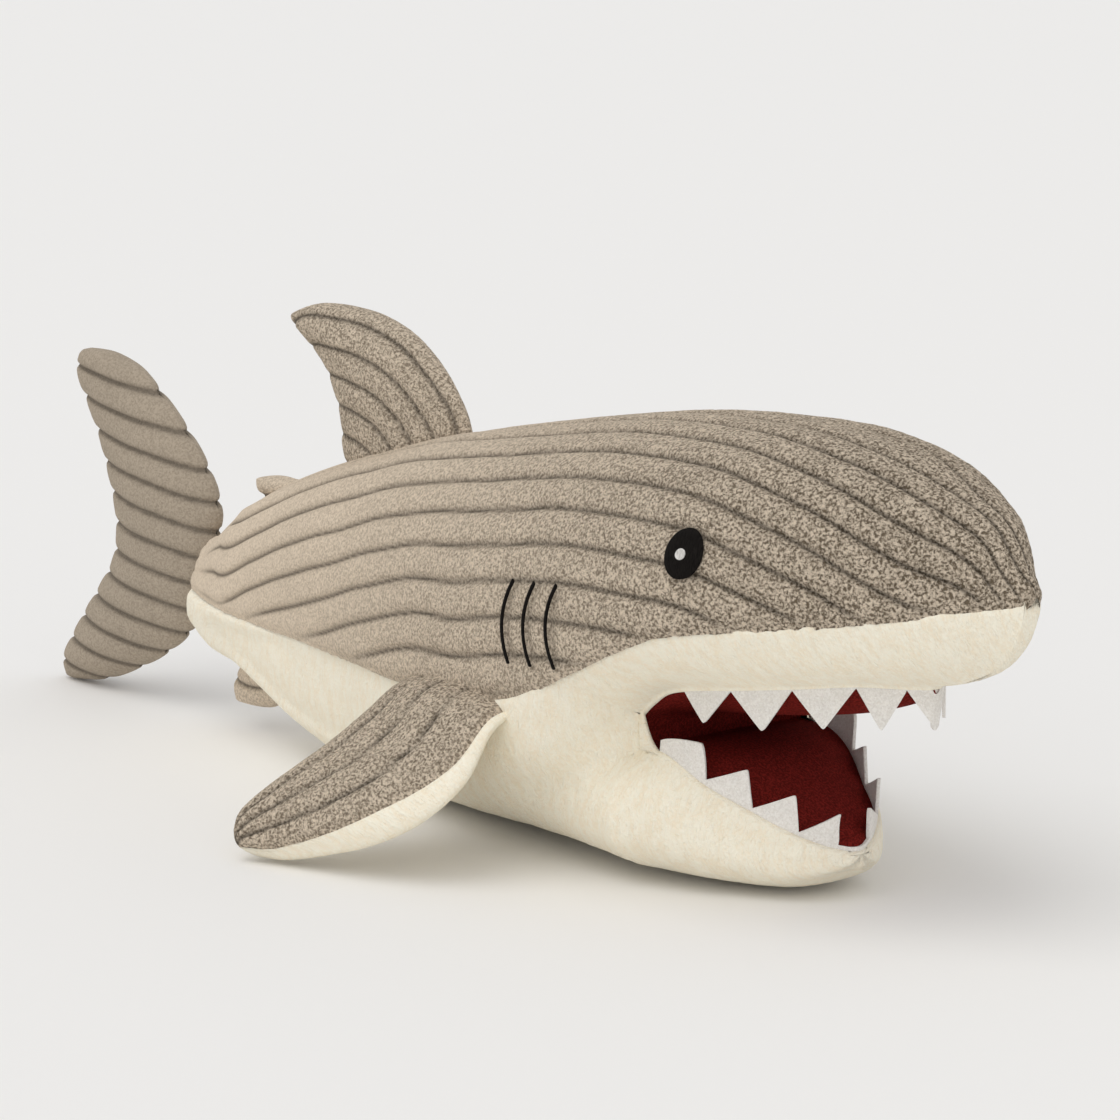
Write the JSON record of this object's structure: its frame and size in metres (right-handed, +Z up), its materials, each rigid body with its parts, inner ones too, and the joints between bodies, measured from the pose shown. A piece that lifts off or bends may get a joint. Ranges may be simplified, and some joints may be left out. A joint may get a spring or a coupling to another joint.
{
  "type": "plush shark",
  "caption": "Stuffed toy shark lying on its belly, grey channelled pile back, cream belly, open red mouth with felt teeth, soft fins and tail.",
  "frame": {"origin": "under the middle of the length, on the plane the toy rests on", "axes": "+X to the snout, +Y to the toy's left side, +Z up"},
  "size_m": [0.6, 0.2774, 0.189],
  "materials": {
    "grey_pile": "matte",
    "cream_pile": "matte",
    "red_jersey": "matte",
    "white_felt": "matte",
    "black_thread": "satin",
    "pale_thread": "satin",
    "fibre_filling": "matte"
  },
  "bodies": {
    "body": {"back_skin": "grey_pile", "belly_skin": "cream_pile", "upper_lip_skin": "cream_pile", "palate_lining": "red_jersey", "body_stuffing": "fibre_filling", "upper_teeth": "white_felt", "eye_patch_right": "black_thread", "eye_patch_left": "black_thread", "eye_highlight_right": "pale_thread", "eye_highlight_left": "pale_thread", "gill_stitches_right": "black_thread", "gill_stitches_left": "black_thread", "second_dorsal_fin": "grey_pile", "anal_fin": "grey_pile"},
    "lower_jaw": {"lower_jaw_skin": "cream_pile", "jaw_lining": "red_jersey", "jaw_stuffing": "fibre_filling", "lower_teeth": "white_felt"},
    "dorsal_fin": {"dorsal_fin_right_face": "grey_pile", "dorsal_fin_left_face": "grey_pile", "dorsal_fin_stuffing": "fibre_filling"},
    "tail_fin": {"tail_fin_right_face": "grey_pile", "tail_fin_left_face": "grey_pile", "tail_fin_stuffing": "fibre_filling"},
    "pectoral_right": {"pectoral_right_top": "grey_pile", "pectoral_right_under": "cream_pile", "pectoral_right_stuffing": "fibre_filling"},
    "pectoral_left": {"pectoral_left_top": "grey_pile", "pectoral_left_under": "cream_pile", "pectoral_left_stuffing": "fibre_filling"}
  },
  "joints": [
    {"name": "jaw_press", "type": "hinge", "parent": "body", "child": "lower_jaw", "pos_m": [0.15, 0, 0.055], "axis": [0, 1, 0], "range_deg": [-10, 0], "stiffness_Nm_per_rad": 0.3},
    {"name": "dorsal_sway", "type": "hinge", "parent": "body", "child": "dorsal_fin", "pos_m": [-0.041, 0, 0.141], "axis": [0.9708, 0, 0.2397], "range_deg": [-20, 20], "stiffness_Nm_per_rad": 0.2},
    {"name": "tail_sway", "type": "hinge", "parent": "body", "child": "tail_fin", "pos_m": [-0.181, 0, 0.066], "axis": [0.3511, 0, 0.9363], "range_deg": [-20, 20], "stiffness_Nm_per_rad": 0.4},
    {"name": "pectoral_right_flap", "type": "hinge", "parent": "body", "child": "pectoral_right", "pos_m": [0.078, -0.0765, 0.056], "axis": [-0.9864, 0.1625, 0.0232], "range_deg": [-10, 30], "stiffness_Nm_per_rad": 0.2},
    {"name": "pectoral_left_flap", "type": "hinge", "parent": "body", "child": "pectoral_left", "pos_m": [0.078, 0.0765, 0.056], "axis": [0.9864, 0.1625, -0.0232], "range_deg": [-10, 30], "stiffness_Nm_per_rad": 0.2}
  ]
}
